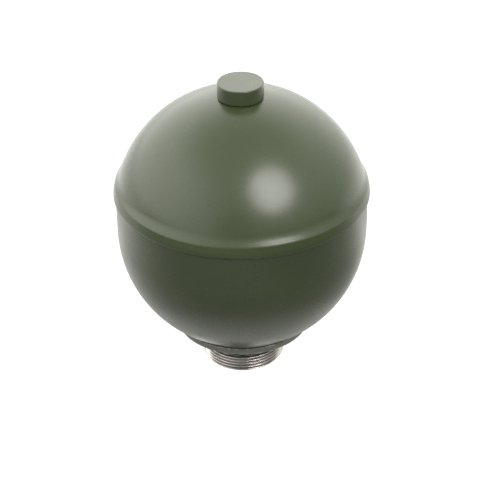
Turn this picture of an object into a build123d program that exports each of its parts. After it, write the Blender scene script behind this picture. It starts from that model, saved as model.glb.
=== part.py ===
"""Sphere-type pressure accumulator with a threaded neck.

Two forged steel half shells are screwed together above the middle of the sphere
and clamp the rim bead of a rubber diaphragm. Gas is above the diaphragm, oil below
it. The lower shell ends in a turned collar and a threaded neck, and a damper valve
with spring discs sits in the neck's bore.

Frame: millimetres, +Z up, origin on the axis in the neck's end face.
"""
import os
from math import atan2, cos, radians, sin, sqrt

from build123d import *

os.makedirs("parts", exist_ok=True)

# ------------------------------------------------------------------ dimensions
# neck and collar
thread_r = 17.5          # M35 x 1.5, crest radius
neck_end_r = 16.45       # flat end face, outer radius after the lead-in chamfer
thread_top_z = 14.8      # the thread runs out here
relief_r = 16.3          # undercut between thread and flat face
collar_z = 17.5          # flat face that seats on the valve block or strut
collar_r = 28.8
collar_top_z = 20.3
groove_r = 27.8          # narrow turned groove between collar and sphere
groove_top_z = 21.7

# seal in the flat face
seal_od = 43.0
seal_id = 38.8
seal_h = 2.5
seal_groove_depth = 1.65
seal_side_gap = 0.1

# lower shell
low_c_z = 65.2           # centre of the lower sphere
low_out_r = 52.45
low_in_r = 46.6
land_z = 81.25           # shoulder under the seam
screw_r = 50.3           # screwed joint of the two shells, drawn as plain cylinders
screw_gap = 0.05
rim_z = 85.8             # top of the lower shell's rim
recess_r = 48.7          # seat of the diaphragm's rim bead
recess_z = 81.7

# upper shell
up_c_z = 71.9            # centre of the dome
up_out_r = 53.7
up_in_r = 47.7
bead_r = 53.3            # widest place of the rim round the joint
seam_z = 81.3
bead_side_z = 83.2       # the rim tapers from here up to its shoulder
bead_shoulder_r = 52.64
bead_shoulder_z = 86.3
bead_top_z = 89.1
bead_foot_fillet = 13.0  # where the dome runs out into the rim
bead_shoulder_fillet = 2.5
bead_side_fillet = 8.0
bead_lower_fillet = 1.0
stop_z = 86.0            # inner shoulder that closes the bead seat
boss_r = 9.0             # thicker wall round the charging hole
boss_z = 116.4
charge_hole_r = 4.0
spot_z = 124.9           # flat under the plug

# filler plug
plug_r = 9.47
plug_top_z = 131.55
plug_seat_r = 8.3
plug_lift = 0.35
plug_shank_len = 6.2

# diaphragm, slip ring and cup
shell_gap = 0.3          # drawn gap between rubber and steel
rubber_t = 2.2
cup_t = 1.3
cup_edge_r = 15.0
bond_gap = 0.1

# damper valve in the neck
bore_r = 13.4
shoulder_z = 12.4
passage_r = 10.5
body_h = 6.0
disc_t = 0.3
disc_r = (8.6, 7.3, 6.0)
stem_r = 2.5
spacer_r = 4.3
spacer_t = 0.6
backing_r = 8.0
backing_t = 1.0
head_r = 4.4
head_t = 1.6
bleed_r = 0.75
nut_af = 8.0
nut_t = 2.6
ring_in_r = 11.3
ring_t = 2.2
port_r = 1.0
port_count = 6
port_in_r = 5.4          # mouth under the spring discs
port_out_r = 10.0        # mouth outside the spring discs


def sphere_z(radius, centre_z, r, side):
    """Height of a sphere's surface at distance r from the axis."""
    return centre_z + side * sqrt(radius ** 2 - r ** 2)


def sphere_r(radius, centre_z, z):
    """Distance of a sphere's surface from the axis at height z."""
    return sqrt(radius ** 2 - (z - centre_z) ** 2)


def on_sphere(radius, centre_z, r, side):
    """Point of a sphere's section at distance r from the axis."""
    return (r, sphere_z(radius, centre_z, r, side))


def sphere_arc(radius, centre_z, start, end):
    """Arc of a sphere's section between two points that lie on it."""
    mid = (atan2(start[1] - centre_z, start[0]) + atan2(end[1] - centre_z, end[0])) / 2
    return ThreePointArc(start, (radius * cos(mid), centre_z + radius * sin(mid)), end)


# ------------------------------------------------------------------ upper shell
bead_in_r = sphere_r(up_out_r, up_c_z, bead_top_z)
stop_in_r = sphere_r(up_in_r, up_c_z, stop_z)
spot_r = sphere_r(up_out_r, up_c_z, spot_z)
boss_in_z = sphere_z(up_in_r, up_c_z, boss_r, 1)

with BuildPart() as upper_shell:
    with BuildSketch(Plane.XZ) as upper_profile:
        with BuildLine() as upper_line:
            Line((charge_hole_r, spot_z), (spot_r, spot_z))
            sphere_arc(up_out_r, up_c_z, (spot_r, spot_z), (bead_in_r, bead_top_z))
            Line((bead_in_r, bead_top_z), (bead_shoulder_r, bead_shoulder_z))
            Line((bead_shoulder_r, bead_shoulder_z), (bead_r, bead_side_z))
            Line((bead_r, bead_side_z), (bead_r, seam_z))
            Line((bead_r, seam_z), (screw_r + screw_gap, seam_z))
            Line((screw_r + screw_gap, seam_z), (screw_r + screw_gap, stop_z))
            Line((screw_r + screw_gap, stop_z), (stop_in_r, stop_z))
            sphere_arc(up_in_r, up_c_z, (stop_in_r, stop_z), (boss_r, boss_in_z))
            Line((boss_r, boss_in_z), (boss_r, boss_z))
            Line((boss_r, boss_z), (charge_hole_r, boss_z))
            Line((charge_hole_r, boss_z), (charge_hole_r, spot_z))
        make_face()
        fillet(upper_profile.vertices().sort_by_distance((bead_in_r, bead_top_z))[0], bead_foot_fillet)
        fillet(upper_profile.vertices().sort_by_distance((bead_shoulder_r, bead_shoulder_z))[0], bead_shoulder_fillet)
        fillet(upper_profile.vertices().sort_by_distance((bead_r, bead_side_z))[0], bead_side_fillet)
        fillet(upper_profile.vertices().sort_by_distance((bead_r, seam_z))[0], bead_lower_fillet)
        fillet(upper_profile.vertices().sort_by_distance((boss_r, boss_in_z))[0], 1.2)
        fillet(upper_profile.vertices().sort_by_distance((boss_r, boss_z))[0], 0.8)
        fillet(upper_profile.vertices().sort_by_distance((screw_r + screw_gap, stop_z))[0], 0.6)
        chamfer(upper_profile.vertices().sort_by_distance((screw_r + screw_gap, seam_z))[0], 0.4)
        chamfer(upper_profile.vertices().sort_by_distance((charge_hole_r, boss_z))[0], 0.5)
    revolve(axis=Axis.Z)
upper_shell.part.label = "upper_shell"
export_step(upper_shell.part, "parts/upper_shell.step")

# ------------------------------------------------------------------ lower shell
seal_in_r = seal_id / 2
seal_out_r = seal_od / 2
groove_sphere_r = sphere_r(low_out_r, low_c_z, groove_top_z)
mouth_z = sphere_z(low_in_r, low_c_z, passage_r, -1)
groove_floor_z = collar_z + seal_groove_depth

with BuildPart() as lower_shell:
    with BuildSketch(Plane.XZ) as lower_profile:
        with BuildLine() as lower_line:
            Line((bore_r, 0), (neck_end_r, 0))
            Line((neck_end_r, 0), (thread_r, thread_r - neck_end_r))
            Line((thread_r, thread_r - neck_end_r), (thread_r, thread_top_z))
            Line((thread_r, thread_top_z), (relief_r, thread_top_z + 0.8))
            Line((relief_r, thread_top_z + 0.8), (relief_r, collar_z))
            Line((relief_r, collar_z), (seal_in_r - seal_side_gap, collar_z))
            Line((seal_in_r - seal_side_gap, collar_z), (seal_in_r - seal_side_gap, groove_floor_z))
            Line((seal_in_r - seal_side_gap, groove_floor_z), (seal_out_r + seal_side_gap, groove_floor_z))
            Line((seal_out_r + seal_side_gap, groove_floor_z), (seal_out_r + seal_side_gap, collar_z))
            Line((seal_out_r + seal_side_gap, collar_z), (collar_r, collar_z))
            Line((collar_r, collar_z), (collar_r, collar_top_z))
            Line((collar_r, collar_top_z), (groove_r, collar_top_z))
            Line((groove_r, collar_top_z), (groove_r, groove_top_z))
            Line((groove_r, groove_top_z), (groove_sphere_r, groove_top_z))
            sphere_arc(low_out_r, low_c_z, (groove_sphere_r, groove_top_z), (low_out_r, low_c_z))
            Line((low_out_r, low_c_z), (low_out_r, land_z))
            Line((low_out_r, land_z), (screw_r, land_z))
            Line((screw_r, land_z), (screw_r, rim_z))
            Line((screw_r, rim_z), (recess_r, rim_z))
            Line((recess_r, rim_z), (recess_r, recess_z))
            Line((recess_r, recess_z), (low_in_r, recess_z))
            Line((low_in_r, recess_z), (low_in_r, low_c_z))
            sphere_arc(low_in_r, low_c_z, (low_in_r, low_c_z), (passage_r, mouth_z))
            Line((passage_r, mouth_z), (passage_r, shoulder_z))
            Line((passage_r, shoulder_z), (bore_r, shoulder_z))
            Line((bore_r, shoulder_z), (bore_r, 0))
        make_face()
        fillet(lower_profile.vertices().sort_by_distance((relief_r, collar_z))[0], 0.5)
        chamfer(lower_profile.vertices().sort_by_distance((collar_r, collar_z))[0], 0.2)
        fillet(lower_profile.vertices().sort_by_distance((collar_r, collar_top_z))[0], 0.4)
        fillet(lower_profile.vertices().sort_by_distance((groove_r, collar_top_z))[0], 0.4)
        fillet(lower_profile.vertices().sort_by_distance((groove_r, groove_top_z))[0], 0.4)
        fillet(lower_profile.vertices().sort_by_distance((groove_sphere_r, groove_top_z))[0], 0.5)
        fillet(lower_profile.vertices().sort_by_distance((low_out_r, land_z))[0], 0.3)
        chamfer(lower_profile.vertices().sort_by_distance((screw_r, rim_z))[0], 0.5)
        fillet(lower_profile.vertices().sort_by_distance((low_in_r, recess_z))[0], 0.5)
        fillet(lower_profile.vertices().sort_by_distance((passage_r, mouth_z))[0], 1.0)
        chamfer(lower_profile.vertices().sort_by_distance((bore_r, 0))[0], 0.8)
    revolve(axis=Axis.Z)
lower_shell.part.label = "lower_shell"
export_step(lower_shell.part, "parts/lower_shell.step")

# ------------------------------------------------------------------ filler plug
with BuildPart() as filler_plug:
    with BuildSketch(Plane.XZ) as plug_profile:
        with BuildLine():
            Polyline(
                (0, spot_z - plug_shank_len),
                (charge_hole_r - 0.8, spot_z - plug_shank_len),
                (charge_hole_r, spot_z - plug_shank_len + 0.8),
                (charge_hole_r, spot_z),
                (plug_seat_r, spot_z),
                (plug_seat_r, spot_z + plug_lift),
                (plug_r, spot_z + plug_lift),
                (plug_r, plug_top_z),
                (0, plug_top_z),
                close=True,
            )
        make_face()
        fillet(plug_profile.vertices().sort_by_distance((plug_r, plug_top_z))[0], 0.45)
        fillet(plug_profile.vertices().sort_by_distance((plug_r, spot_z + plug_lift))[0], 0.2)
    revolve(axis=Axis.Z)
filler_plug.part.label = "filler_plug"
export_step(filler_plug.part, "parts/filler_plug.step")

# ------------------------------------------------------------------ neck seal
with BuildPart() as port_seal_ring:
    with BuildSketch(Plane.XY.offset(groove_floor_z - seal_h)):
        Circle(seal_out_r)
        Circle(seal_in_r, mode=Mode.SUBTRACT)
    extrude(amount=seal_h)
    fillet(port_seal_ring.edges().filter_by(GeomType.CIRCLE), 0.2)
port_seal_ring.part.label = "port_seal_ring"
export_step(port_seal_ring.part, "parts/port_seal_ring.step")

# ------------------------------------------------------------------ diaphragm
# It lies against the oil-side shell, as the gas presses it when no oil is in.
rub_out_r = low_in_r - shell_gap
rub_in_r = rub_out_r - rubber_t
cup_out_r = low_in_r - shell_gap
cup_in_r = cup_out_r - cup_t
over_cup_out = cup_in_r - bond_gap
over_cup_in = over_cup_out - rubber_t
skirt_z = recess_z + 0.1
bead_top = stop_z - 0.95
edge_r = cup_edge_r + 0.5

with BuildPart() as diaphragm:
    with BuildSketch(Plane.XZ) as rubber_profile:
        with BuildLine():
            sphere_arc(over_cup_out, low_c_z, (0, low_c_z - over_cup_out), on_sphere(over_cup_out, low_c_z, edge_r, -1))
            Line(on_sphere(over_cup_out, low_c_z, edge_r, -1), on_sphere(rub_out_r, low_c_z, edge_r, -1))
            sphere_arc(rub_out_r, low_c_z, on_sphere(rub_out_r, low_c_z, edge_r, -1), (rub_out_r, low_c_z))
            Line((rub_out_r, low_c_z), (rub_out_r, skirt_z))
            Line((rub_out_r, skirt_z), (recess_r - 0.1, skirt_z))
            Line((recess_r - 0.1, skirt_z), (recess_r - 0.1, bead_top))
            Line((recess_r - 0.1, bead_top), (rub_in_r, bead_top))
            Line((rub_in_r, bead_top), (rub_in_r, low_c_z))
            sphere_arc(rub_in_r, low_c_z, (rub_in_r, low_c_z), on_sphere(rub_in_r, low_c_z, 17.5, -1))
            Line(on_sphere(rub_in_r, low_c_z, 17.5, -1), on_sphere(over_cup_in, low_c_z, 15.0, -1))
            sphere_arc(over_cup_in, low_c_z, on_sphere(over_cup_in, low_c_z, 15.0, -1), (0, low_c_z - over_cup_in))
            Line((0, low_c_z - over_cup_in), (0, low_c_z - over_cup_out))
        make_face()
        fillet(rubber_profile.vertices().sort_by_distance((recess_r - 0.1, bead_top))[0], 0.6)
        fillet(rubber_profile.vertices().sort_by_distance((recess_r - 0.1, skirt_z))[0], 0.6)
        fillet(rubber_profile.vertices().sort_by_distance((rub_in_r, bead_top))[0], 0.8)
    revolve(axis=Axis.Z)
diaphragm.part.label = "diaphragm"
export_step(diaphragm.part, "parts/diaphragm.step")

# ------------------------------------------------------------------ slip ring
with BuildPart() as diaphragm_slip_ring:
    with BuildSketch(Plane.XY.offset(bead_top + 0.05)):
        Circle(recess_r - 0.1)
        Circle(stop_in_r + 0.6, mode=Mode.SUBTRACT)
    extrude(amount=stop_z - bead_top - 0.1)
diaphragm_slip_ring.part.label = "diaphragm_slip_ring"
export_step(diaphragm_slip_ring.part, "parts/diaphragm_slip_ring.step")

# ------------------------------------------------------------------ cup
with BuildPart() as diaphragm_cup:
    with BuildSketch(Plane.XZ) as cup_profile:
        with BuildLine():
            sphere_arc(cup_out_r, low_c_z, (0, low_c_z - cup_out_r), on_sphere(cup_out_r, low_c_z, cup_edge_r, -1))
            Line(on_sphere(cup_out_r, low_c_z, cup_edge_r, -1), on_sphere(cup_in_r, low_c_z, cup_edge_r - 0.4, -1))
            sphere_arc(cup_in_r, low_c_z, on_sphere(cup_in_r, low_c_z, cup_edge_r - 0.4, -1), (0, low_c_z - cup_in_r))
            Line((0, low_c_z - cup_in_r), (0, low_c_z - cup_out_r))
        make_face()
        fillet(cup_profile.vertices().sort_by_distance(on_sphere(cup_out_r, low_c_z, cup_edge_r, -1))[0], 0.4)
        fillet(cup_profile.vertices().sort_by_distance(on_sphere(cup_in_r, low_c_z, cup_edge_r - 0.4, -1))[0], 0.4)
    revolve(axis=Axis.Z)
diaphragm_cup.part.label = "diaphragm_cup"
export_step(diaphragm_cup.part, "parts/diaphragm_cup.step")

# ------------------------------------------------------------------ damper body
body_top = shoulder_z
body_bot = shoulder_z - body_h

with BuildPart() as damper_body:
    with BuildSketch(Plane.XY.offset(body_bot)):
        Circle(bore_r)
    extrude(amount=body_h)
    chamfer(damper_body.edges().filter_by(GeomType.CIRCLE), 0.3)
    with BuildSketch(Plane.XY.offset(body_bot)):
        Circle(stem_r + 0.05)
    extrude(amount=body_h, mode=Mode.SUBTRACT)
    # Oblique passages: each starts under the discs on one face and ends outside
    # the discs on the other. One set opens downwards, the other upwards.
    for i in range(port_count):
        for up in (0, 1):
            a = 360 / port_count * i + 180 / port_count * up
            low_r, high_r = (port_out_r, port_in_r) if up else (port_in_r, port_out_r)
            start = Vector(low_r * cos(radians(a)), low_r * sin(radians(a)), body_bot)
            end = Vector(high_r * cos(radians(a)), high_r * sin(radians(a)), body_top)
            way = (end - start).normalized()
            port_plane = Plane(origin=start - way * 3, z_dir=way)
            with BuildSketch(port_plane):
                Circle(port_r)
            extrude(amount=(end - start).length + 6, mode=Mode.SUBTRACT)
damper_body.part.label = "damper_body"
export_step(damper_body.part, "parts/damper_body.step")


# ------------------------------------------------------------------ disc stacks
def washer(name, z, outer, thick, edge=0.0):
    """A flat ring on the stem, from height z up."""
    with BuildPart() as ring:
        with BuildSketch(Plane.XY.offset(z)):
            Circle(outer)
            Circle(stem_r + 0.05, mode=Mode.SUBTRACT)
        extrude(amount=thick)
        if edge:
            chamfer(ring.edges().filter_by(GeomType.CIRCLE).group_by(SortBy.RADIUS)[-1], edge)
    ring.part.label = name
    export_step(ring.part, "parts/" + name + ".step")
    return ring


z = body_top
for size, r in zip(("large", "medium", "small"), disc_r):
    washer("compression_disc_" + size, z, r, disc_t)
    z += disc_t
washer("compression_spacer", z, spacer_r, spacer_t)
z += spacer_t
washer("compression_backing_washer", z, backing_r, backing_t, 0.2)
z += backing_t
head_z = z

z = body_bot
for size, r in zip(("large", "medium", "small"), disc_r):
    z -= disc_t
    washer("rebound_disc_" + size, z, r, disc_t)
z -= spacer_t
washer("rebound_spacer", z, spacer_r, spacer_t)
z -= backing_t
washer("rebound_backing_washer", z, backing_r, backing_t, 0.2)
nut_top = z

# ------------------------------------------------------------------ stem and nut
with BuildPart() as damper_stem:
    with BuildSketch(Plane.XZ) as stem_profile:
        with BuildLine():
            Polyline(
                (bleed_r, nut_top - nut_t - 0.3),
                (stem_r - 0.4, nut_top - nut_t - 0.3),
                (stem_r, nut_top - nut_t + 0.1),
                (stem_r, head_z),
                (head_r, head_z),
                (head_r, head_z + head_t - 0.4),
                (head_r - 0.4, head_z + head_t),
                (bleed_r, head_z + head_t),
                close=True,
            )
        make_face()
    revolve(axis=Axis.Z)
damper_stem.part.label = "damper_stem"
export_step(damper_stem.part, "parts/damper_stem.step")

with BuildPart() as damper_nut:
    with BuildSketch(Plane.XY.offset(nut_top - nut_t)):
        RegularPolygon(nut_af / 2, 6, major_radius=False)
        Circle(stem_r + 0.05, mode=Mode.SUBTRACT)
    extrude(amount=nut_t)
    # 30 degree corner chamfers, as on any turned nut
    with BuildSketch(Plane.XZ) as nut_cut:
        with BuildLine():
            Polyline(
                (nut_af / 2 - 0.15, nut_top - nut_t),
                (nut_af, nut_top - nut_t),
                (nut_af, nut_top - nut_t + (nut_af / 2 + 0.15) * 0.577),
                close=True,
            )
        make_face()
    revolve(axis=Axis.Z, mode=Mode.SUBTRACT)
damper_nut.part.label = "damper_nut"
export_step(damper_nut.part, "parts/damper_nut.step")

# ------------------------------------------------------------------ retaining ring
with BuildPart() as damper_retaining_ring:
    with BuildSketch(Plane.XY.offset(body_bot - ring_t)):
        Circle(bore_r)
        Circle(ring_in_r, mode=Mode.SUBTRACT)
    extrude(amount=ring_t)
    chamfer(damper_retaining_ring.faces().sort_by(Axis.Z)[0].edges(), 0.3)
damper_retaining_ring.part.label = "damper_retaining_ring"
export_step(damper_retaining_ring.part, "parts/damper_retaining_ring.step")
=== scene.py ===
import math

import bpy
import numpy as np
from mathutils import Matrix, Vector


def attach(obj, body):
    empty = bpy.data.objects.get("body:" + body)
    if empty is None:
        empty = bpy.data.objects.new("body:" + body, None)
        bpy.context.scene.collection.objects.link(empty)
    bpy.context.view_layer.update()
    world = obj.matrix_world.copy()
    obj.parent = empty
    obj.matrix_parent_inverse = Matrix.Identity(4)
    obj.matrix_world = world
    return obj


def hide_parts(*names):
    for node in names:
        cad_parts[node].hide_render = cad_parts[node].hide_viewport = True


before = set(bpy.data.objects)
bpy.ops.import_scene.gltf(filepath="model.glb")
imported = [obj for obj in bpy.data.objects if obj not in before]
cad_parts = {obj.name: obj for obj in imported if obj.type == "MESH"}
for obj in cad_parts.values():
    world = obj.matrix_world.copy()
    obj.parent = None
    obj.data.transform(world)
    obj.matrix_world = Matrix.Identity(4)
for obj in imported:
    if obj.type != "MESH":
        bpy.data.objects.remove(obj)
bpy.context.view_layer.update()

# Pressure accumulator, looks. Metres, +Z up, origin on the axis in the neck's end face.
# The painted shells, the plug and the neck seal are turned afresh from their sections,
# with the neck's real M35 x 1.5 thread. Everything inside keeps its CAD mesh.

MM = 0.001
TURNS = 256


# ------------------------------------------------------------------ turned bodies
class Section:
    """The outline of a turned body in (r, z) millimetres, as straight runs and arcs
    that keep their true normals. A corner may be rounded or cut at 45 degrees."""

    def __init__(self):
        self.parts = []

    def line(self, p, q, step=3.0, tag=0):
        self.parts.append({"kind": "line", "p": p, "q": q, "step": step, "tag": tag})
        return self

    def arc(self, centre, radius, p, q, degrees=1.6, tag=0):
        self.parts.append({"kind": "arc", "c": centre, "R": radius, "p": p, "q": q, "step": degrees, "tag": tag})
        return self

    @staticmethod
    def _foot(part, x):
        if part["kind"] == "line":
            p, q = np.array(part["p"]), np.array(part["q"])
            d = (q - p) / np.linalg.norm(q - p)
            return p + d * float((x - p) @ d)
        c = np.array(part["c"])
        v = x - c
        return c + v / np.linalg.norm(v) * part["R"]

    def round(self, i, radius, degrees=7.5, tag=None):
        """Round the corner between part i and the next one."""
        a, b = self.parts[i], self.parts[i + 1]
        corner = np.array(a["q"], float)

        def way(part, end):
            p, q = np.array(part["p"], float), np.array(part["q"], float)
            if part["kind"] == "line":
                d = (q - p) / np.linalg.norm(q - p)
            else:
                v = (q if end else p) - np.array(part["c"])
                d = np.array([-v[1], v[0]]) / np.linalg.norm(v)
                if d @ (q - p) < 0:
                    d = -d
            return d

        back, on = -way(a, True), way(b, False)
        inward = (back + on) / np.linalg.norm(back + on)
        half = math.acos(max(-1.0, min(1.0, float(back @ on)))) / 2
        x = corner + inward * radius / math.sin(half)

        def side(part, y):
            if part["kind"] == "line":
                p, q = np.array(part["p"], float), np.array(part["q"], float)
                d = (q - p) / np.linalg.norm(q - p)
                return float(d[0] * (y - p)[1] - d[1] * (y - p)[0])
            return float(np.linalg.norm(y - np.array(part["c"])) - part["R"])

        sa, sb = np.sign(side(a, x)), np.sign(side(b, x))
        for _ in range(30):
            f = np.array([sa * side(a, x) - radius, sb * side(b, x) - radius])
            if np.abs(f).max() < 1e-10:
                break
            j = np.zeros((2, 2))
            for k in range(2):
                dx = np.zeros(2)
                dx[k] = 1e-6
                j[:, k] = (
                    np.array([sa * side(a, x + dx), sb * side(b, x + dx)])
                    - np.array([sa * side(a, x), sb * side(b, x)])
                ) / 1e-6
            x = x - np.linalg.solve(j, f)
        ta, tb = self._foot(a, x), self._foot(b, x)
        a["q"], b["p"] = tuple(ta), tuple(tb)
        self.parts.insert(i + 1, {"kind": "arc", "c": tuple(x), "R": radius, "p": tuple(ta), "q": tuple(tb), "step": degrees,
                                  "tag": a["tag"] if tag is None else tag})
        return self

    def bevel(self, i, size, tag=None):
        """Cut the corner between straight parts i and i + 1 at 45 degrees."""
        a, b = self.parts[i], self.parts[i + 1]
        corner = np.array(a["q"], float)
        pa = corner + (np.array(a["p"]) - corner) / np.linalg.norm(np.array(a["p"]) - corner) * size
        pb = corner + (np.array(b["q"]) - corner) / np.linalg.norm(np.array(b["q"]) - corner) * size
        a["q"], b["p"] = tuple(pa), tuple(pb)
        self.parts.insert(i + 1, {"kind": "line", "p": tuple(pa), "q": tuple(pb), "step": 1.0,
                                  "tag": a["tag"] if tag is None else tag})
        return self

    def points(self, part):
        """The part's points and true normals, to the right of its way."""
        p, q = np.array(part["p"], float), np.array(part["q"], float)
        if part["kind"] == "line":
            n = max(1, int(math.ceil(np.linalg.norm(q - p) / part["step"])))
            t = np.linspace(0, 1, n + 1)[:, None]
            d = (q - p) / np.linalg.norm(q - p)
            pts = p + (q - p) * t
            return pts, np.repeat([[d[1], -d[0]]], n + 1, 0)
        c = np.array(part["c"], float)
        a0 = math.atan2(*(p - c)[::-1])
        a1 = math.atan2(*(q - c)[::-1])
        sweep = (a1 - a0 + math.pi) % (2 * math.pi) - math.pi
        n = max(2, int(math.ceil(abs(math.degrees(sweep)) / part["step"])))
        t = a0 + sweep * np.linspace(0, 1, n + 1)
        out = np.stack([np.cos(t), np.sin(t)], 1)
        pts = c + out * part["R"]
        return pts, out * (1.0 if sweep > 0 else -1.0)


def chain(section):
    """Points of a whole section: list of (points, normals, material index)."""
    return [(*section.points(part), part["tag"]) for part in section.parts]


def turned(name, runs, extra=None, turns=TURNS):
    """Mesh object from runs of (points, normals, material index) in (r, z) mm, walked
    with the solid on the left. Runs share their end points. extra is {run number: function(r, z, angle) giving
    new r, z and the normal's three parts}, for a run that is not truly round."""
    ang = np.linspace(0, 2 * math.pi, turns, endpoint=False)
    ca, sa = np.cos(ang), np.sin(ang)
    verts, faces, normals, mats = [], [], [], []

    def ring(r, z):
        if np.max(np.abs(r)) < 1e-7:
            verts.append((0.0, 0.0, float(np.mean(z)) * MM))
            return [len(verts) - 1] * turns
        start = len(verts)
        for k in range(turns):
            verts.append((r[k] * ca[k] * MM, r[k] * sa[k] * MM, z[k] * MM))
        return list(range(start, start + turns))

    made = {}

    def shared(r, z, key):
        if key is not None and key in made:
            return made[key]
        got = ring(r, z)
        if key is not None:
            made[key] = got
        return got

    for number, (pts, nor, tag) in enumerate(runs):
        previous = None
        for i in range(len(pts)):
            r0, z0 = pts[i]
            r, z = np.full(turns, r0), np.full(turns, z0)
            nr, nt, nz = np.full(turns, nor[i][0]), np.zeros(turns), np.full(turns, nor[i][1])
            if extra and number in extra:
                r, z, nr, nt, nz = extra[number](r0, z0, ang, nor[i])
            ends = i in (0, len(pts) - 1)
            key = (round(float(r0), 5), round(float(z0), 5)) if ends else None
            ids = shared(r, z, key)
            n3 = np.stack([nr * ca - nt * sa, nr * sa + nt * ca, nz], 1)
            if previous is not None:
                pid, pn3 = previous
                for k in range(turns):
                    m = (k + 1) % turns
                    ring_faces = []
                    if pid[k] == pid[m]:
                        ring_faces = [(pid[k], ids[m], ids[k])]
                        ring_n = [(pn3[k] + pn3[m], n3[m], n3[k])]
                    elif ids[k] == ids[m]:
                        ring_faces = [(pid[k], pid[m], ids[k])]
                        ring_n = [(pn3[k], pn3[m], n3[k] + n3[m])]
                    else:
                        ring_faces = [(pid[k], pid[m], ids[m], ids[k])]
                        ring_n = [(pn3[k], pn3[m], n3[m], n3[k])]
                    faces.extend(ring_faces)
                    for f in ring_n:
                        normals.extend(f)
                    mats.append(tag)
            previous = (ids, n3)
    mesh = bpy.data.meshes.new(name)
    mesh.from_pydata(verts, [], faces)
    mesh.polygons.foreach_set("use_smooth", np.ones(len(faces), bool))
    mesh.polygons.foreach_set("material_index", np.array(mats, np.int32))
    n = np.array([tuple(x) for x in normals], float)
    n /= np.maximum(np.linalg.norm(n, axis=1), 1e-12)[:, None]
    mesh.update()
    mesh.normals_split_custom_set([tuple(x) for x in n])
    obj = bpy.data.objects.new(name, mesh)
    bpy.context.scene.collection.objects.link(obj)
    return obj


def sphere_r(radius, centre, z):
    return math.sqrt(radius ** 2 - (z - centre) ** 2)


def sphere_z(radius, centre, r, side):
    return centre + side * math.sqrt(radius ** 2 - r ** 2)


# ------------------------------------------------------------------ materials
def new_material(name):
    m = bpy.data.materials.new(name)
    m.use_nodes = True
    t = m.node_tree
    t.nodes.clear()
    out = t.nodes.new("ShaderNodeOutputMaterial")
    b = t.nodes.new("ShaderNodeBsdfPrincipled")
    t.links.new(b.outputs["BSDF"], out.inputs["Surface"])
    coord = t.nodes.new("ShaderNodeTexCoord")
    return m, t, b, coord.outputs["Object"]


def noise(t, vector, scale, detail=2.0, rough=0.5, distortion=0.0):
    n = t.nodes.new("ShaderNodeTexNoise")
    n.inputs["Scale"].default_value = scale
    n.inputs["Detail"].default_value = detail
    n.inputs["Roughness"].default_value = rough
    n.inputs["Distortion"].default_value = distortion
    t.links.new(vector, n.inputs["Vector"])
    return n.outputs["Fac"]


def stretched(t, vector, sx, sy, sz):
    n = t.nodes.new("ShaderNodeMapping")
    n.inputs["Scale"].default_value = (sx, sy, sz)
    t.links.new(vector, n.inputs["Vector"])
    return n.outputs["Vector"]


def spread(t, value, lo, hi, a=0.0, b=1.0, smooth=False):
    n = t.nodes.new("ShaderNodeMapRange")
    n.interpolation_type = "SMOOTHSTEP" if smooth else "LINEAR"
    n.inputs["From Min"].default_value = lo
    n.inputs["From Max"].default_value = hi
    n.inputs["To Min"].default_value = a
    n.inputs["To Max"].default_value = b
    t.links.new(value, n.inputs["Value"])
    return n.outputs["Result"]


def maths(t, op, a, b=None, c=None):
    n = t.nodes.new("ShaderNodeMath")
    n.operation = op
    for i, v in enumerate((a, b, c)):
        if v is None:
            continue
        if isinstance(v, (int, float)):
            n.inputs[i].default_value = v
        else:
            t.links.new(v, n.inputs[i])
    return n.outputs[0]


def mix_colour(t, fac, a, b):
    n = t.nodes.new("ShaderNodeMix")
    n.data_type = "RGBA"
    for socket, v in ((n.inputs[0], fac), (n.inputs[6], a), (n.inputs[7], b)):
        if isinstance(v, (int, float)):
            socket.default_value = v
        elif isinstance(v, (tuple, list)):
            socket.default_value = (*v, 1.0)
        else:
            t.links.new(v, socket)
    return n.outputs[2]


def bump(t, height, strength, distance, after=None):
    n = t.nodes.new("ShaderNodeBump")
    n.inputs["Strength"].default_value = strength
    n.inputs["Distance"].default_value = distance
    t.links.new(height, n.inputs["Height"])
    if after is not None:
        t.links.new(after, n.inputs["Normal"])
    return n.outputs["Normal"]


def axis_parts(t, vector):
    n = t.nodes.new("ShaderNodeSeparateXYZ")
    t.links.new(vector, n.inputs["Vector"])
    x, y, z = n.outputs
    r = maths(t, "SQRT", maths(t, "ADD", maths(t, "MULTIPLY", x, x), maths(t, "MULTIPLY", y, y)))
    return r, z


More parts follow.
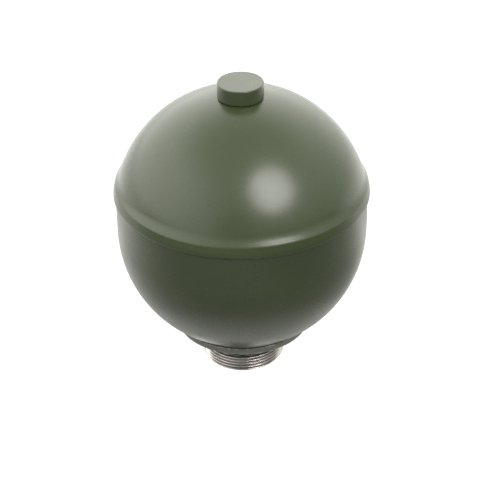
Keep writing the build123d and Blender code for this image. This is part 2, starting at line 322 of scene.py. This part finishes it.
def paint(name, dark, light, rough=(0.25, 0.31), worn=None, thin_film_and_painted_light=None, seam_shade=None, patch_scale=420.0, patch_from=0.46):
    """Satin stoving paint on smooth steel: faint flow marks, slight orange peel, softly uneven gloss. worn is a list
    of (z, half height, r, half width) in metres of edges where the film is rubbed through,
    thin_film_and_painted_light a list of (z from, z to, smallest r) of faces made lighter: where the film is thin and
    the steel greys it, and in a recess as painted light against its shade. seam_shade is (z, half height) of a joint
    where the film is dull and its colour is darkened as painted shade of the gap. patch_scale and patch_from set how
    the rubbed spots fall."""
    m, t, b, co = new_material(name)
    flow = spread(t, noise(t, co, 22.0, 3.0, 0.55, 0.4), 0.32, 0.68)
    grain = spread(t, noise(t, co, 2400.0, 2.0, 0.6), 0.3, 0.7)
    base = mix_colour(t, flow, dark, light)
    fleck = spread(t, noise(t, co, 5200.0, 1.0, 0.5), 0.66, 0.78, 0.0, 0.10, True)
    base = mix_colour(t, fleck, base, tuple(min(1.0, c * 2.2) for c in light))
    gloss = maths(t, "ADD", spread(t, noise(t, co, 55.0, 4.0, 0.6), 0.3, 0.7, rough[0], rough[1]),
                  spread(t, grain, 0.0, 1.0, -0.012, 0.012))
    # lighter faces: grey where the film is thin, and painted light where a recess is lightened against its shade
    if thin_film_and_painted_light:
        r, z = axis_parts(t, co)
        for z0, z1, r0 in thin_film_and_painted_light:
            on = maths(t, "MULTIPLY", maths(t, "MULTIPLY",
                                            spread(t, z, z0 - 0.0002, z0 + 0.0001), spread(t, z, z1 - 0.0001, z1 + 0.0002, 1.0, 0.0)),
                       spread(t, r, r0 - 0.0004, r0))
            streak = spread(t, noise(t, co, 300.0, 3.0, 0.6), 0.3, 0.7, 0.55, 0.95)
            base = mix_colour(t, maths(t, "MULTIPLY", on, streak), base, (0.078, 0.083, 0.068))
    if worn:
        r, z = axis_parts(t, co)
        mask = None
        for z0, hz, r0, hr in worn:
            near = maths(t, "MULTIPLY",
                         spread(t, maths(t, "ABSOLUTE", maths(t, "SUBTRACT", z, z0)), hz, 0.0, 0.0, 1.0, True),
                         spread(t, maths(t, "ABSOLUTE", maths(t, "SUBTRACT", r, r0)), hr, 0.0, 0.0, 1.0, True))
            mask = near if mask is None else maths(t, "MAXIMUM", mask, near)
        patch = spread(t, noise(t, co, patch_scale, 4.0, 0.65), patch_from, patch_from + 0.16, 0.0, 1.0, True)
        scuff = maths(t, "MULTIPLY", maths(t, "MULTIPLY", mask, patch), 0.85)
        base = mix_colour(t, scuff, base, (0.30, 0.30, 0.28))
        gloss = maths(t, "ADD", gloss, maths(t, "MULTIPLY", scuff, 0.10))
    # painted shade: the colour at the shells' joint is darkened as if by the gap's shade, and the film is made duller
    if seam_shade:
        r, z = axis_parts(t, co)
        dull_shade = spread(t, maths(t, "ABSOLUTE", maths(t, "SUBTRACT", z, seam_shade[0])), seam_shade[1], seam_shade[1] * 0.6, 0.0, 0.42, True)
        gloss = maths(t, "ADD", gloss, dull_shade)
        base = mix_colour(t, maths(t, "MULTIPLY", dull_shade, 1.6), base, tuple(c * 0.45 for c in dark))
    t.links.new(base, b.inputs["Base Color"])
    t.links.new(gloss, b.inputs["Roughness"])
    peel = bump(t, noise(t, co, 620.0, 2.0, 0.45), 0.35, 0.000012)
    fine = bump(t, noise(t, co, 2400.0, 2.0, 0.5), 0.25, 0.000004, peel)
    t.links.new(fine, b.inputs["Normal"])
    b.inputs["IOR"].default_value = 1.5
    return m


def steel(name, colour, rough=(0.28, 0.40), lines="turned", line_scale=2600.0, tint=0.12, stain=(0.30, 0.27, 0.23), metallic=1.0, collar_shade_from=None):
    """Bare machined steel: tool marks round the axis, uneven gloss, thin oily stains.
    The last argument is the height in metres above which the neck's thread and undercut are darkened: painted shade
    under the collar."""
    m, t, b, co = new_material(name)
    r, z = axis_parts(t, co)
    combine = t.nodes.new("ShaderNodeCombineXYZ")
    t.links.new(r, combine.inputs[0])
    t.links.new(z, combine.inputs[1])
    around = combine.outputs[0]
    marks = noise(t, stretched(t, around, 1.0, 1.0, 1.0), line_scale, 3.0, 0.65)
    cloud = noise(t, co, 130.0, 4.0, 0.6, 0.3)
    spots = spread(t, noise(t, co, 900.0, 3.0, 0.6), 0.60, 0.74, 0.0, 1.0, True)
    tone = mix_colour(t, spread(t, marks, 0.3, 0.7, 0.0, 1.0), tuple(c * (1 - tint) for c in colour), tuple(min(1.0, c * (1 + tint)) for c in colour))
    tone = mix_colour(t, spread(t, cloud, 0.42, 0.75, 0.0, 0.45, True), tone, stain)
    tone = mix_colour(t, maths(t, "MULTIPLY", spots, 0.35), tone, tuple(c * 0.5 for c in stain))
    gloss = maths(t, "ADD", spread(t, cloud, 0.3, 0.7, rough[0], rough[1]), spread(t, marks, 0.3, 0.7, -0.04, 0.04))
    # painted shade under the collar: above the given height, with a ragged edge, the thread and undercut are darkened
    # and dulled
    if collar_shade_from:
        edge = maths(t, "ADD", z, spread(t, noise(t, co, 260.0, 3.0, 0.6), 0.3, 0.7, -0.00035, 0.00035))
        full = spread(t, edge, collar_shade_from - 0.0002, collar_shade_from + 0.0004, 0.0, 0.90, True)
        full = maths(t, "MULTIPLY", full, spread(t, z, 0.0166, 0.0172, 1.0, 0.0, True))
        full = maths(t, "MULTIPLY", full, maths(t, "MULTIPLY", spread(t, r, 0.0176, 0.0182, 1.0, 0.0), spread(t, r, 0.0145, 0.0150)))
        tone = mix_colour(t, full, tone, (0.040, 0.038, 0.034))
        gloss = maths(t, "ADD", gloss, maths(t, "MULTIPLY", full, 0.18))
    t.links.new(tone, b.inputs["Base Color"])
    t.links.new(gloss, b.inputs["Roughness"])
    b.inputs["Metallic"].default_value = metallic
    if lines == "turned":
        n = bump(t, marks, 0.5, 0.000012)
    elif lines == "sintered":
        n = bump(t, noise(t, co, 2600.0, 4.0, 0.7), 0.7, 0.00003)
    else:
        n = bump(t, noise(t, co, 1500.0, 3.0, 0.5), 0.3, 0.000008)
    n = bump(t, noise(t, co, 700.0, 3.0, 0.55), 0.25, 0.00001, n)
    t.links.new(n, b.inputs["Normal"])
    return m


def rubber(name, colour, rough=(0.55, 0.72)):
    """Moulded rubber: matt, slightly dusty, very fine grain."""
    m, t, b, co = new_material(name)
    cloud = noise(t, co, 160.0, 4.0, 0.6)
    grain = noise(t, co, 3200.0, 3.0, 0.6)
    base = mix_colour(t, spread(t, cloud, 0.35, 0.72, 0.0, 1.0, True), colour, tuple(c * 1.7 + 0.004 for c in colour))
    base = mix_colour(t, spread(t, grain, 0.62, 0.78, 0.0, 0.25, True), base, tuple(c * 3.0 + 0.01 for c in colour))
    t.links.new(base, b.inputs["Base Color"])
    t.links.new(spread(t, cloud, 0.3, 0.7, rough[0], rough[1]), b.inputs["Roughness"])
    n = bump(t, grain, 0.5, 0.00001)
    t.links.new(bump(t, noise(t, co, 500.0, 2.0, 0.5), 0.3, 0.00002, n), b.inputs["Normal"])
    b.inputs["Specular IOR Level"].default_value = 0.42
    return m


shell_paint = paint("shell_paint_upper", (0.0235, 0.0333, 0.0116), (0.027, 0.0377, 0.0138))
# Lower shell: the lip's thin film is greyed; the groove above the lip is lightened as painted light against its
# shade.
lower_paint = paint("shell_paint_lower", (0.0245, 0.0325, 0.0145), (0.028, 0.0370, 0.0170), seam_shade=(0.0811, 0.0004),
                    worn=[(0.0176, 0.0006, 0.0288, 0.0008), (0.0202, 0.0004, 0.0288, 0.0006)],
                    thin_film_and_painted_light=[(0.0174, 0.0204, 0.0284), (0.0203, 0.0216, 0.0274)])
plug_paint = paint("plug_paint", (0.027, 0.036, 0.0155), (0.035, 0.045, 0.022), rough=(0.27, 0.36),
                   worn=[(0.13155, 0.0005, 0.0093, 0.0006)], patch_scale=200.0, patch_from=0.53)
inner_coat = steel("shell_inside", (0.33, 0.33, 0.33), (0.42, 0.55), "rolled")
# the neck's steel is darkened above 7.6 mm as painted shade under the collar
neck_steel = steel("neck_steel", (0.42, 0.40, 0.385), (0.16, 0.27), "turned", tint=0.20, stain=(0.16, 0.145, 0.13), collar_shade_from=0.0076)
neck_steel.node_tree.nodes["Principled BSDF"].inputs["Specular Tint"].default_value = (0.25, 0.245, 0.24, 1)
turned_steel = steel("turned_steel", (0.60, 0.60, 0.60), (0.25, 0.38), "turned")
spring_steel = steel("spring_steel", (0.52, 0.53, 0.56), (0.18, 0.28), "rolled", tint=0.05)
sintered = steel("sintered_steel", (0.40, 0.40, 0.41), (0.42, 0.58), "sintered")
pressed = steel("pressed_steel", (0.55, 0.55, 0.56), (0.30, 0.42), "rolled")
seal_rubber = rubber("seal_rubber", (0.010, 0.010, 0.011))
diaphragm_rubber = rubber("diaphragm_rubber", (0.016, 0.014, 0.012))

# ------------------------------------------------------------------ upper shell
UP_C, UP_R, UP_IN = 71.9, 53.7, 47.7
spot_r = sphere_r(UP_R, UP_C, 124.9)
bead_in = sphere_r(UP_R, UP_C, 89.1)
stop_in = sphere_r(UP_IN, UP_C, 86.0)
boss_in = sphere_z(UP_IN, UP_C, 9.0, 1)
s = Section()
s.line((4.0, 116.4), (9.0, 116.4))                           # 0 boss inside
s.line((9.0, 116.4), (9.0, boss_in))                         # 1
s.arc((0, UP_C), UP_IN, (9.0, boss_in), (stop_in, 86.0), 3.0)  # 2 inside of the dome
s.line((stop_in, 86.0), (50.35, 86.0))                       # 3
s.line((50.35, 86.0), (50.35, 81.3))                         # 4 joint
s.line((50.35, 81.3), (53.3, 81.3), 1.5)                     # 5 seam face
s.line((53.3, 81.3), (53.3, 83.2), 1.5)                      # 6 rim, its widest place
s.line((53.3, 83.2), (52.64, 86.3), 1.5)                     # 7 tapered side
s.line((52.64, 86.3), (bead_in, 89.1))                       # 8 shoulder slope
s.arc((0, UP_C), UP_R, (bead_in, 89.1), (spot_r, 124.9), 1.2)  # 9 dome
s.line((spot_r, 124.9), (4.0, 124.9))                        # 10 flat under the plug
s.line((4.0, 124.9), (4.0, 116.4))                           # 11 charging hole
for i, part in enumerate(s.parts):
    part["tag"] = 0 if 5 <= i <= 10 else 1
# from the last corner to the first, so that the numbers stay right
s.round(8, 13.0, 1.2)
s.round(7, 2.5, 3.0)
s.round(6, 8.0, 2.0)
s.round(5, 1.0, 6.0)
s.bevel(4, 0.4)
s.round(3, 0.6)
s.round(1, 1.2)
s.round(0, 0.8)
upper = turned("upper_shell_turned", chain(s))
upper.data.materials.append(shell_paint)
upper.data.materials.append(inner_coat)

# ------------------------------------------------------------------ lower shell
PITCH = 1.5
CREST, ROOT = 17.5, 16.58
LO_C, LO_R, LO_IN = 65.2, 52.45, 46.6
TABLE = 600


def thread_table():
    """Radius over one pitch of a 60 degree thread with rounded crest and root."""
    s = (np.arange(TABLE) + 0.5) / TABLE * PITCH
    away = np.minimum(s, PITCH - s)                 # distance from the crest's middle
    depth = np.clip((away - 0.094) / math.tan(math.radians(30)), 0, CREST - ROOT)
    r = CREST - depth
    k = np.arange(-60, 61)
    w = np.exp(-0.5 * (k * PITCH / TABLE / 0.065) ** 2)
    w /= w.sum()
    smooth = np.zeros_like(r)
    for kk, ww in zip(k, w):
        smooth += ww * np.roll(r, kk)
    return smooth


THREAD = thread_table()
SLOPE = (np.roll(THREAD, -1) - np.roll(THREAD, 1)) / (2 * PITCH / TABLE)


def envelope(z):
    """Largest radius of the neck at height z: lead-in, thread and relief cone."""
    e = np.full_like(z, CREST)
    e = np.where(z < 1.05, 16.45 + z, e)
    e = np.where(z > 14.8, np.maximum(CREST - (z - 14.8) * 1.5, 16.3), e)
    return e


def threaded(r0, z0, ang, nor):
    z = np.full(len(ang), z0)
    phase = (z - PITCH * ang / (2 * math.pi)) % PITCH / PITCH * TABLE
    i = phase.astype(int) % TABLE
    rt, st = THREAD[i], SLOPE[i]
    e = envelope(z)
    cut = rt > e
    r = np.where(cut, e, rt)
    dz = np.where(cut, np.where(z0 < 1.05, 1.0, np.where(z0 > 14.8, -1.5, 0.0)), st)
    dz = np.where((z0 > 15.6) & cut, 0.0, dz)
    dt = np.where(cut, 0.0, -st * PITCH / (2 * math.pi))
    nr, nt, nz = np.ones(len(ang)), -dt / r, -dz
    length = np.sqrt(nr ** 2 + nt ** 2 + nz ** 2)
    return r, z, nr / length, nt / length, nz / length


groove_sphere = sphere_r(LO_R, LO_C, 21.7)
mouth_z = sphere_z(LO_IN, LO_C, 10.5, -1)
floor_z = 19.15
s = Section()
s.line((13.4, 0.0), (16.45, 0.0), 1.0)                       # 0 end face
s.line((16.45, 0.0), (16.3, 15.6), 0.09)                     # 1 thread, shaped below
s.line((16.3, 15.6), (16.3, 17.5), 0.8)                      # 2 relief
s.line((16.3, 17.5), (19.3, 17.5), 1.5)                      # 3 flat face
s.line((19.3, 17.5), (19.3, floor_z))                        # 4 seal groove
s.line((19.3, floor_z), (21.6, floor_z))                     # 5
s.line((21.6, floor_z), (21.6, 17.5))                        # 6
s.line((21.6, 17.5), (28.8, 17.5), 1.5)                      # 7
s.line((28.8, 17.5), (28.8, 20.3), 1.0)                      # 8 lip
s.line((28.8, 20.3), (27.8, 20.3), 0.5)                      # 9
s.line((27.8, 20.3), (27.8, 21.7), 0.5)                      # 10
s.line((27.8, 21.7), (groove_sphere, 21.7), 0.6)             # 11
s.arc((0, LO_C), LO_R, (groove_sphere, 21.7), (LO_R, LO_C), 1.2)   # 12
s.line((LO_R, LO_C), (LO_R, 81.25), 2.5)                     # 13
s.line((LO_R, 81.25), (50.3, 81.25), 1.0)                     # 14
s.line((50.3, 81.25), (50.3, 85.8), 2.0)                     # 15
s.line((50.3, 85.8), (48.7, 85.8))                           # 16
s.line((48.7, 85.8), (48.7, 81.7))                           # 17
s.line((48.7, 81.7), (LO_IN, 81.7))                          # 18
s.line((LO_IN, 81.7), (LO_IN, LO_C), 6.0)                    # 19
s.arc((0, LO_C), LO_IN, (LO_IN, LO_C), (10.5, mouth_z), 3.0)  # 20
s.line((10.5, mouth_z), (10.5, 12.4))                        # 21
s.line((10.5, 12.4), (13.4, 12.4))                           # 22
s.line((13.4, 12.4), (13.4, 0.0), 3.0)                       # 23
for i in range(24):
    s.parts[i]["tag"] = 1 if i < 8 else (0 if i < 15 else 2)
s.parts[23]["tag"] = 1
# from the last corner to the first, so that the numbers stay right
s.round(20, 1.0)
s.round(18, 0.5)
s.bevel(15, 0.5)
s.round(13, 0.3)
s.round(11, 0.5)
s.round(10, 0.4)
s.round(9, 0.4)
s.round(8, 0.4)
s.bevel(7, 0.2, tag=0)
s.round(2, 0.5)
# the bore's mouth chamfer joins the last part to the first
s.parts[-1]["q"] = (13.4, 0.8)
s.parts[0]["p"] = (14.2, 0.0)
s.parts.append({"kind": "line", "p": (13.4, 0.8), "q": (14.2, 0.0), "step": 1.0, "tag": 1})

runs = chain(s)
rows = int(round(15.6 / 0.09))
zz = np.linspace(0.0, 15.6, rows + 1)
rr = np.full(rows + 1, CREST)
rr[0], rr[-1] = 16.45, 16.3
runs[1] = (np.stack([rr, zz], 1), np.repeat([[1.0, 0.0]], rows + 1, 0), 1)


def neck(r0, z0, ang, nor):
    if z0 <= 1e-9:
        q = math.sqrt(0.5)
        one = np.ones(len(ang))
        return 16.45 * one, 0 * one, q * one, 0 * one, -q * one
    if z0 >= 15.6 - 1e-9:
        one = np.ones(len(ang))
        return 16.3 * one, 15.6 * one, one, 0 * one, 0 * one
    return threaded(r0, z0, ang, nor)


lower = turned("lower_shell_turned", runs, extra={1: neck})
for mat in (lower_paint, neck_steel, inner_coat):
    lower.data.materials.append(mat)

# ------------------------------------------------------------------ filler plug
s = Section()
s.line((0.0, 118.7), (3.2, 118.7))
s.line((3.2, 118.7), (4.0, 119.5))
s.line((4.0, 119.5), (4.0, 124.9))
s.line((4.0, 124.9), (8.3, 124.9))
s.line((8.3, 124.9), (8.3, 125.25))
s.line((8.3, 125.25), (9.47, 125.25))
s.line((9.47, 125.25), (9.47, 131.55), 1.0)
s.line((9.47, 131.55), (0.0, 131.55), 1.2)
s.round(6, 0.45, 6.0)
s.round(5, 0.2, 15.0)
plug = turned("filler_plug_turned", chain(s), turns=192)
plug.data.materials.append(plug_paint)

# ------------------------------------------------------------------ neck seal
s = Section()
s.line((20.4, 16.65), (21.5, 16.65), 0.6)
s.line((21.5, 16.65), (21.5, 19.15), 0.6)
s.line((21.5, 19.15), (19.4, 19.15), 0.6)
s.line((19.4, 19.15), (19.4, 16.65), 0.6)
s.line((19.4, 16.65), (20.4, 16.65), 0.6)
s.round(3, 0.2, 15.0)
s.round(2, 0.2, 15.0)
s.round(1, 0.2, 15.0)
s.round(0, 0.2, 15.0)
seal = turned("port_seal_turned", chain(s), turns=192)
seal.data.materials.append(seal_rubber)

for piece, node, slot in (
    (upper, "upper_shell", "shell_paint"),
    (lower, "lower_shell", "shell_paint"),
    (plug, "filler_plug", "plug_paint"),
    (seal, "port_seal_ring", "seal_rubber"),
):
    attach(piece, "sphere")
    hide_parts(node)

# ------------------------------------------------------------------ kept CAD nodes
finish_of = {
    "diaphragm": diaphragm_rubber,
    "diaphragm_cup": pressed,
    "diaphragm_slip_ring": pressed,
    "damper_body": sintered,
}
for name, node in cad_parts.items():
    m = finish_of.get(name) or (spring_steel if "_disc_" in name else turned_steel)
    if not node.data.materials:
        node.data.materials.append(m)
    for slot in node.material_slots:
        slot.material = m

# ------------------------------------------------------------------ floor and light
floor_mesh = bpy.data.meshes.new("floor")
F = 6.0
floor_mesh.from_pydata([(-F, -F, -0.0002), (F, -F, -0.0002), (F, F, -0.0002), (-F, F, -0.0002)], [], [(0, 1, 2, 3)])
floor = bpy.data.objects.new("floor", floor_mesh)
bpy.context.scene.collection.objects.link(floor)
fm = bpy.data.materials.new("floor_sheet")
fm.use_nodes = True
t = fm.node_tree
t.nodes.clear()
out = t.nodes.new("ShaderNodeOutputMaterial")
path = t.nodes.new("ShaderNodeLightPath")
geo = t.nodes.new("ShaderNodeNewGeometry")
coord = t.nodes.new("ShaderNodeTexCoord")
sep = t.nodes.new("ShaderNodeSeparateXYZ")
t.links.new(coord.outputs["Object"], sep.inputs["Vector"])
# The floor colour that the object sees is painted light and shade: brighter close to the foot, darker in front and to
# the right; camera rays see an even pale sheet.
radius, _ = axis_parts(t, coord.outputs["Object"])
close = spread(t, radius, 0.045, 0.11, 1.0, 0.0, True)
depth = spread(t, sep.outputs[1], -0.12, 0.14, 0.16, 0.80, True)
# painted shade: dimmer on the right-hand side and right in front of the neck
beside = maths(t, "MULTIPLY", spread(t, sep.outputs[0], 0.01, 0.13, 0.0, 0.45, True),
               spread(t, sep.outputs[1], 0.0, 0.09, 1.0, 0.0, True))
depth = maths(t, "MULTIPLY", depth, maths(t, "SUBTRACT", 1.0, beside))
# painted light and shade round the neck's foot: the brightness changes with the direction, 0.5 being straight ahead
bearing = maths(t, "ADD", maths(t, "DIVIDE", maths(t, "ARCTAN2", sep.outputs[0], maths(t, "MULTIPLY", sep.outputs[1], -1.0)),
                                2 * math.pi), 0.5)
foot = t.nodes.new("ShaderNodeValToRGB")
foot.color_ramp.interpolation = "EASE"
els = foot.color_ramp.elements
steps = [(-180, 0.06), (-150, 0.07), (-125, 0.12), (-100, 0.34), (-72, 1.0), (-50, 0.68), (-30, 0.32), (-12, 0.07), (3, 0.09),
         (22, 0.50), (35, 0.54), (55, 0.36), (90, 0.32), (125, 0.14), (180, 0.06)]
els[0].position, els[0].color = 0.0, (steps[0][1],) * 3 + (1,)
els[1].position, els[1].color = 1.0, (steps[-1][1],) * 3 + (1,)
for a, v in steps[1:-1]:
    e = els.new(a / 360 + 0.5)
    e.color = (v, v, v, 1)
t.links.new(bearing, foot.inputs["Fac"])
foot_gain = maths(t, "MULTIPLY", foot.outputs["Color"], 2.7)
near_foot = spread(t, radius, 0.024, 0.031, 1.0, 0.0, True)
floor_light_and_shade = maths(t, "MAXIMUM", maths(t, "MULTIPLY", close, 0.53), depth)
floor_light_and_shade = maths(t, "MULTIPLY", floor_light_and_shade, maths(t, "ADD", maths(t, "MULTIPLY", near_foot, maths(t, "SUBTRACT", foot_gain, 1.0)), 1.0))
# painted shade behind the object: a little dimmer to either side
fx, fy = sep.outputs[0], sep.outputs[1]
strip = maths(t, "MULTIPLY", spread(t, fy, 0.07, 0.105, 0.0, 1.0, True), spread(t, fy, 0.145, 0.19, 1.0, 0.0, True))
dim = maths(t, "ADD", spread(t, fx, 0.03, 0.07, 0.0, 0.38, True), spread(t, fx, -0.07, -0.03, 0.22, 0.0, True))
floor_light_and_shade = maths(t, "MULTIPLY", floor_light_and_shade, maths(t, "SUBTRACT", 1.0, maths(t, "MULTIPLY", strip, dim)))
sheet = t.nodes.new("ShaderNodeBsdfDiffuse")
t.links.new(floor_light_and_shade, sheet.inputs["Color"])
seen = t.nodes.new("ShaderNodeBsdfDiffuse")
seen.inputs["Color"].default_value = (0.32, 0.32, 0.32, 1)
glow = t.nodes.new("ShaderNodeEmission")
glow.inputs["Color"].default_value = (1, 1, 1, 1)
glow.inputs["Strength"].default_value = 0.75
both = t.nodes.new("ShaderNodeAddShader")
t.links.new(seen.outputs[0], both.inputs[0])
t.links.new(glow.outputs[0], both.inputs[1])
pick = t.nodes.new("ShaderNodeMixShader")
t.links.new(path.outputs["Is Camera Ray"], pick.inputs[0])
t.links.new(sheet.outputs[0], pick.inputs[1])
t.links.new(both.outputs[0], pick.inputs[2])
clear = t.nodes.new("ShaderNodeBsdfTransparent")
under = t.nodes.new("ShaderNodeMixShader")
# light gets up into the bore from below
t.links.new(maths(t, "MAXIMUM", geo.outputs["Backfacing"], maths(t, "LESS_THAN", radius, 0.0158)), under.inputs[0])
t.links.new(pick.outputs[0], under.inputs[1])
t.links.new(clear.outputs[0], under.inputs[2])
t.links.new(under.outputs[0], out.inputs["Surface"])
floor.data.materials.append(fm)

world = bpy.data.worlds.new("studio")
bpy.context.scene.world = world
world.use_nodes = True
t = world.node_tree
t.nodes.clear()
out = t.nodes.new("ShaderNodeOutputWorld")
back = t.nodes.new("ShaderNodeBackground")
t.links.new(back.outputs[0], out.inputs["Surface"])
coord = t.nodes.new("ShaderNodeTexCoord")
sep = t.nodes.new("ShaderNodeSeparateXYZ")
t.links.new(coord.outputs["Generated"], sep.inputs["Vector"])
dx, dy, dz = sep.outputs
ramp = t.nodes.new("ShaderNodeValToRGB")
ramp.color_ramp.interpolation = "B_SPLINE"
stops = [(0.0, 0.74), (0.34, 0.95), (0.574, 1.0), (0.707, 0.78), (0.78, 0.50), (0.866, 0.16), (0.94, 0.0)]
els = ramp.color_ramp.elements
els[0].position, els[0].color = stops[0][0], (stops[0][1],) * 3 + (1,)
els[1].position, els[1].color = stops[-1][0], (stops[-1][1],) * 3 + (1,)
for p, v in stops[1:-1]:
    e = els.new(p)
    e.color = (v, v, v, 1)
t.links.new(dz, ramp.inputs["Fac"])
band = ramp.outputs["Color"]
# the bright ring round the object: strongest behind and to the left, weakest in front
flat = maths(t, "SQRT", maths(t, "ADD", maths(t, "ADD", maths(t, "MULTIPLY", dx, dx), maths(t, "MULTIPLY", dy, dy)), 1e-6))
around = maths(t, "ARCTAN2", maths(t, "DIVIDE", dx, flat), maths(t, "MULTIPLY", maths(t, "DIVIDE", dy, flat), -1.0))
amount = 2.33
for turns_per_ring, c_part, s_part in ((1, -0.91, -0.77), (2, -0.19, -0.035), (3, -0.20, 0.11)):
    angle = maths(t, "MULTIPLY", around, float(turns_per_ring))
    wave = maths(t, "ADD", maths(t, "MULTIPLY", maths(t, "COSINE", angle), c_part),
                 maths(t, "MULTIPLY", maths(t, "SINE", angle), s_part))
    amount = maths(t, "ADD", wave, amount)
# the right-hand side falls off towards the horizon
low = spread(t, dz, 0.0, 0.55, 1.0, 0.0)
right_side = maths(t, "MAXIMUM", maths(t, "DIVIDE", dx, flat), 0.0)
amount = maths(t, "SUBTRACT", amount, maths(t, "MULTIPLY", maths(t, "MULTIPLY", right_side, low), 0.80))
# a dim gap in front, where the camera stands
gap = spread(t, maths(t, "ABSOLUTE", maths(t, "ADD", maths(t, "DIVIDE", dx, flat), 0.16)), 0.10, 0.42, 1.0, 0.0, True)
gap = maths(t, "MULTIPLY", gap, spread(t, dy, -0.2, -0.7, 0.0, 1.0, True))
gap = maths(t, "MULTIPLY", gap, spread(t, dz, 0.25, 0.55, 1.0, 0.0, True))
amount = maths(t, "SUBTRACT", amount, maths(t, "MULTIPLY", gap, 0.62))
amount = maths(t, "MAXIMUM", amount, 0.25)
ZENITH = 1.25
level = maths(t, "ADD", maths(t, "MULTIPLY", band, maths(t, "SUBTRACT", amount, ZENITH)), ZENITH)
# less light from below, where only the bore's mouth takes any
level = maths(t, "MULTIPLY", level, spread(t, dz, -0.03, 0.0, 0.40, 1.0))
path = t.nodes.new("ShaderNodeLightPath")
seen_level = maths(t, "ADD", maths(t, "MULTIPLY", path.outputs["Is Camera Ray"], maths(t, "SUBTRACT", 1.0, level)), level)
t.links.new(seen_level, back.inputs["Strength"])
back.inputs["Color"].default_value = (1.0, 0.995, 0.958, 1)

key = bpy.data.lights.new("key", "AREA")
key.shape = "DISK"
key.size = 0.83
key.energy = 15.2
key.color = (1.0, 0.985, 0.955)
key_obj = bpy.data.objects.new("key", key)
bpy.context.scene.collection.objects.link(key_obj)
aim = Vector((0.0083, -0.0405, 0.1055))
way = Vector((math.sin(math.radians(36.3)) * math.cos(math.radians(43.0)),
              -math.cos(math.radians(36.3)) * math.cos(math.radians(43.0)),
              math.sin(math.radians(43.0))))
key_obj.location = aim + way * 1.2
key_obj.rotation_mode = "QUATERNION"
key_obj.rotation_quaternion = way.to_track_quat("Z", "Y")

# ------------------------------------------------------------------ camera
cam = bpy.data.cameras.new("camera")
cam.sensor_width = 36.0
cam.lens = 1559.646 / 500 * 36.0
cam.clip_start, cam.clip_end = 0.01, 50.0
cam_obj = bpy.data.objects.new("camera", cam)
bpy.context.scene.collection.objects.link(cam_obj)
pitch, yaw, roll = 0.572673, 0.005732, -0.0095606
fwd = Vector((math.sin(yaw) * math.cos(pitch), math.cos(yaw) * math.cos(pitch), -math.sin(pitch)))
right = fwd.cross(Vector((0, 0, 1))).normalized()
up = right.cross(fwd)
r2 = right * math.cos(roll) + up * math.sin(roll)
u2 = -right * math.sin(roll) + up * math.cos(roll)
m = Matrix((
    (r2.x, u2.x, -fwd.x, 0.0),
    (r2.y, u2.y, -fwd.y, -0.559309),
    (r2.z, u2.z, -fwd.z, 0.412195),
    (0.0, 0.0, 0.0, 1.0),
))
cam_obj.matrix_world = m
bpy.context.scene.camera = cam_obj

view = bpy.context.scene.view_settings
view.view_transform = "Standard"
view.look = "None"
view.exposure = 0.0
view.gamma = 1.0
